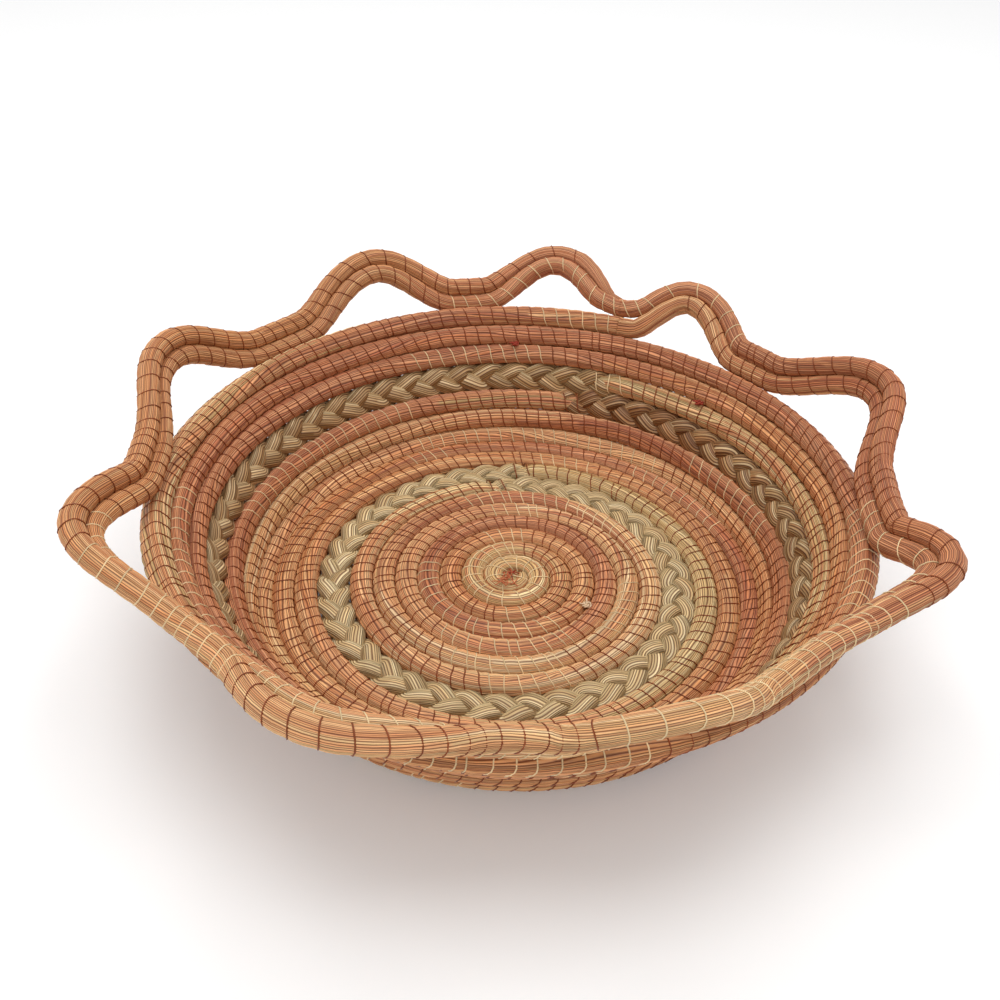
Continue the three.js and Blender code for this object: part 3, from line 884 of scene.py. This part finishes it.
sewing_thread = thread_finish("sewing_thread", roughness=0.32, grain=1800)
row_ranges = {
    "floor_stitches": ((FIRST_STITCH, STRAW_FLOOR[1]), (GREEN_FLOOR[0], OUTER_FLOOR[1])),
    "wall_stitches": ((LOWER_WALL[0], UPPER_WALL[1]),),
    "rim_stitches": ((GREEN_WALL[0], RIM[1]),),
}
for seed, (name, ranges) in enumerate(row_ranges.items()):
    sewn = [stitch_turns[(stitch_turns >= first) & (stitch_turns < last)] for first, last in ranges]
    stitches = np.concatenate(sewn)
    loops = stitch_parts(stitches, coil_place, COIL_HALF, COIL_DEPTH, COIL_SQUARE, ROW_PALE_AND_SHEEN,
                         ROW_STITCH_SEED + seed)
    add_piece(name, loops, sewing_thread)
on_waves = (stitch_turns >= RIM_END_TURN + CORD_START) & (stitch_turns < CORD_END_TURN - CORD_TAPER)
wave_stitches = stitch_turns[on_waves]
wave_loops = stitch_parts(wave_stitches, scallop_place, SCALLOP_HALF, SCALLOP_HALF, CORD_SQUARE, WAVE_PALE_AND_SHEEN,
                          WAVE_STITCH_SEED)
add_piece("wave_stitches", wave_loops, sewing_thread)


# Thread knots
# Where one length of thread ends and the next begins, the two are tied and the knot is left in the groove.
# Each is a small overhand knot with short cut ends.
KNOT_SEED = 71
KNOT_SIZE = 0.465  # a third of the radius of the knot's middle line
KNOT_THREAD = 0.34
KNOT_ENDS = 3
KNOT_END_THREAD = 0.272
KNOT_END_LENGTHS = (2, 3.2)
KNOT_END_RISE = 0.25  # over the length
KNOT_END_BOW = 0.8
KNOT_PALE = "e6c9a6"

pale_knot_thread = thread_finish("pale_knot_thread", roughness=0.5, grain=2600)
for seed, (node, shade, finish, slot) in enumerate((
        ("floor_thread_knot", KNOT_PALE, pale_knot_thread, "pale_thread"),
        ("back_thread_knot", KNOT_RED, red_thread, "red_thread"),
        ("right_thread_knot", KNOT_RED, red_thread, "red_thread"))):
    low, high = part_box(node)
    middle = np.array((low + high) / 2) * 1000
    rng = np.random.default_rng(KNOT_SEED + seed)
    u = np.linspace(0, 2 * np.pi, 41)
    ring = 2 + np.cos(3 * u)
    loop = np.stack([ring * np.cos(2 * u), ring * np.sin(2 * u), np.sin(3 * u)], 1)
    parts = [thread(middle + loop * KNOT_SIZE, KNOT_THREAD, shade)]
    for end in range(KNOT_ENDS):
        way = rng.uniform(0, 2 * np.pi)
        share = np.linspace(0, 1, 7)[:, None]
        flat = np.array([math.cos(way), math.sin(way), KNOT_END_RISE])
        bow = np.array([-math.sin(way), math.cos(way), 0]) * rng.uniform(-KNOT_END_BOW, KNOT_END_BOW)
        cut_end = middle + share * flat * rng.uniform(*KNOT_END_LENGTHS) + share ** 2 * bow
        parts.append(thread(cut_end, KNOT_END_THREAD, shade))
    add_piece(node + "_tied", parts, finish, [node])


# Table
# A plain white surface that the basket stands on. It is lit like the basket and keeps its soft shadow.
# The camera sees it a little brighter, so that it meets the white beyond it.
TABLE_HALF = 4.0
TABLE_WHITE = 0.93
TABLE_GLOW = 0.1


def seen_or_mirrored(tree):
    """A socket that is 1 for what the camera sees, also in gloss or through glass, and 0 for other light."""
    rays = tree.nodes.new("ShaderNodeLightPath")
    mirrored = tree.nodes.new("ShaderNodeMath")
    mirrored.operation = "MAXIMUM"
    seen = tree.nodes.new("ShaderNodeMath")
    seen.operation = "MAXIMUM"
    tree.links.new(rays.outputs["Is Glossy Ray"], mirrored.inputs[0])
    tree.links.new(rays.outputs["Is Transmission Ray"], mirrored.inputs[1])
    tree.links.new(rays.outputs["Is Camera Ray"], seen.inputs[0])
    tree.links.new(mirrored.outputs["Value"], seen.inputs[1])
    return seen.outputs["Value"]


table_mesh = bpy.data.meshes.new("table")
table_corners = [(-TABLE_HALF, -TABLE_HALF, 0), (TABLE_HALF, -TABLE_HALF, 0), (TABLE_HALF, TABLE_HALF, 0),
                 (-TABLE_HALF, TABLE_HALF, 0)]
table_mesh.from_pydata(table_corners, [], [(0, 1, 2, 3)])
table = bpy.data.objects.new("table", table_mesh)
bpy.context.scene.collection.objects.link(table)
table_white = bpy.data.materials.new("table_white")
table_white.use_nodes = True
table_nodes = table_white.node_tree.nodes
table_links = table_white.node_tree.links
table_shader = table_nodes["Principled BSDF"]
table_shader.inputs["Base Color"].default_value = (TABLE_WHITE, TABLE_WHITE, TABLE_WHITE, 1)
table_shader.inputs["Roughness"].default_value = 0.9
table_shader.inputs["Specular IOR Level"].default_value = 0.1
table_glow = table_nodes.new("ShaderNodeEmission")
table_sum = table_nodes.new("ShaderNodeAddShader")
table_level = table_nodes.new("ShaderNodeMath")
table_level.operation = "MULTIPLY"
table_level.inputs[1].default_value = TABLE_GLOW
table_links.new(seen_or_mirrored(table_white.node_tree), table_level.inputs[0])
table_links.new(table_level.outputs["Value"], table_glow.inputs["Strength"])
table_links.new(table_shader.outputs["BSDF"], table_sum.inputs[0])
table_links.new(table_glow.outputs["Emission"], table_sum.inputs[1])
table_links.new(table_sum.outputs["Shader"], table_nodes["Material Output"].inputs["Surface"])
table_mesh.materials.append(table_white)


# Light
# Soft studio light: an even white room, and one large lamp overhead, a little behind the basket.
# Together they light a level surface to about the colour that it is written as.
ROOM_LIGHT = 0.76
LAMP_SIZE = 0.9
LAMP_PLACE = Vector((-0.02, 0.12, 1.25))
LAMP_POWER = 6.8

room = bpy.data.worlds.new("room")
bpy.context.scene.world = room
room.use_nodes = True
room_nodes = room.node_tree.nodes
room_links = room.node_tree.links
room_light = room_nodes["Background"]
room_light.inputs["Color"].default_value = (1, 1, 1, 1)
room_light.inputs["Strength"].default_value = ROOM_LIGHT
room_white = room_nodes.new("ShaderNodeBackground")
room_white.inputs["Color"].default_value = (1, 1, 1, 1)
room_white.inputs["Strength"].default_value = 1
room_mix = room_nodes.new("ShaderNodeMixShader")
room_links.new(seen_or_mirrored(room.node_tree), room_mix.inputs["Fac"])
room_links.new(room_light.outputs["Background"], room_mix.inputs[1])
room_links.new(room_white.outputs["Background"], room_mix.inputs[2])
room_links.new(room_mix.outputs["Shader"], room_nodes["World Output"].inputs["Surface"])
lamp_data = bpy.data.lights.new("soft_lamp", "AREA")
lamp_data.size = LAMP_SIZE
lamp_data.energy = LAMP_POWER
lamp = bpy.data.objects.new("soft_lamp", lamp_data)
lamp.location = LAMP_PLACE
lamp.rotation_euler = (-LAMP_PLACE).to_track_quat("-Z", "Y").to_euler()
bpy.context.scene.collection.objects.link(lamp)

bpy.context.scene.view_settings.view_transform = "Standard"
